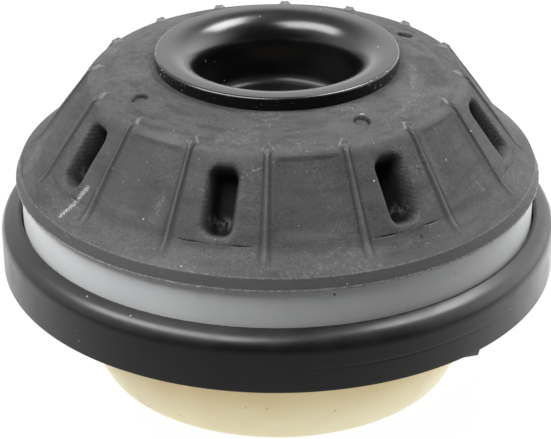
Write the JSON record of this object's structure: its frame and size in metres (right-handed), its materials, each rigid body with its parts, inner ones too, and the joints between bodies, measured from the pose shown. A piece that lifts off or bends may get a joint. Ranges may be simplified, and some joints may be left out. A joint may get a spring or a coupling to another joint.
{
  "type": "strut mount",
  "caption": "Ribbed elastomer strut mount with a pressed steel top cup for the damper rod, on a turning ball bearing with a black spring seat ring and a tapered ivory spring spigot.",
  "frame": {"origin": "on the mount's axis, at the lower end of the spring spigot", "axes": "+Z along the mount's axis, up towards the steel cup; the spring end stop is near -Y and +X"},
  "size_m": [0.1488, 0.1488, 0.089],
  "materials": {
    "cup_enamel": "glossy black enamel",
    "cone_rubber": "dusty dark grey moulded rubber",
    "cap_grey": "light grey moulded plastic",
    "seat_black": "satin black moulded plastic",
    "spigot_ivory": "ivory moulded plastic",
    "race_steel": "ground steel",
    "ball_steel": "polished steel",
    "cage_nylon": "natural nylon",
    "seal_rubber": "black rubber"
  },
  "bodies": {
    "mount": {"steel_cup": "cup_enamel", "rubber_cone": "cone_rubber", "upper_cap": "cap_grey", "upper_race": "race_steel", "inner_seal": "seal_rubber"},
    "cage": {"ball_cage": "cage_nylon", "ball_01": "ball_steel", "ball_02": "ball_steel", "ball_03": "ball_steel", "ball_04": "ball_steel", "ball_05": "ball_steel", "ball_06": "ball_steel", "ball_07": "ball_steel", "ball_08": "ball_steel", "ball_09": "ball_steel", "ball_10": "ball_steel", "ball_11": "ball_steel", "ball_12": "ball_steel", "ball_13": "ball_steel", "ball_14": "ball_steel", "ball_15": "ball_steel", "ball_16": "ball_steel", "ball_17": "ball_steel", "ball_18": "ball_steel", "ball_19": "ball_steel", "ball_20": "ball_steel", "ball_21": "ball_steel", "ball_22": "ball_steel", "ball_23": "ball_steel", "ball_24": "ball_steel", "ball_25": "ball_steel", "ball_26": "ball_steel", "ball_27": "ball_steel", "ball_28": "ball_steel", "ball_29": "ball_steel", "ball_30": "ball_steel", "ball_31": "ball_steel", "ball_32": "ball_steel", "ball_33": "ball_steel", "ball_34": "ball_steel", "ball_35": "ball_steel", "ball_36": "ball_steel", "ball_37": "ball_steel", "ball_38": "ball_steel", "ball_39": "ball_steel", "ball_40": "ball_steel"},
    "seat": {"lower_race": "race_steel", "lower_cap": "spigot_ivory", "spring_seat": "seat_black"}
  },
  "joints": [
    {"name": "bearing_turn", "type": "hinge", "parent": "mount", "child": "seat", "pos_m": [0, 0, 0.0441], "axis": [0, 0, 1], "continuous": true},
    {"name": "cage_turn", "type": "hinge", "parent": "mount", "child": "cage", "pos_m": [0, 0, 0.0441], "axis": [0, 0, 1], "continuous": true}
  ],
  "couplings": [
    {"joint": "cage_turn", "follows": "bearing_turn", "ratio": 0.5}
  ]
}
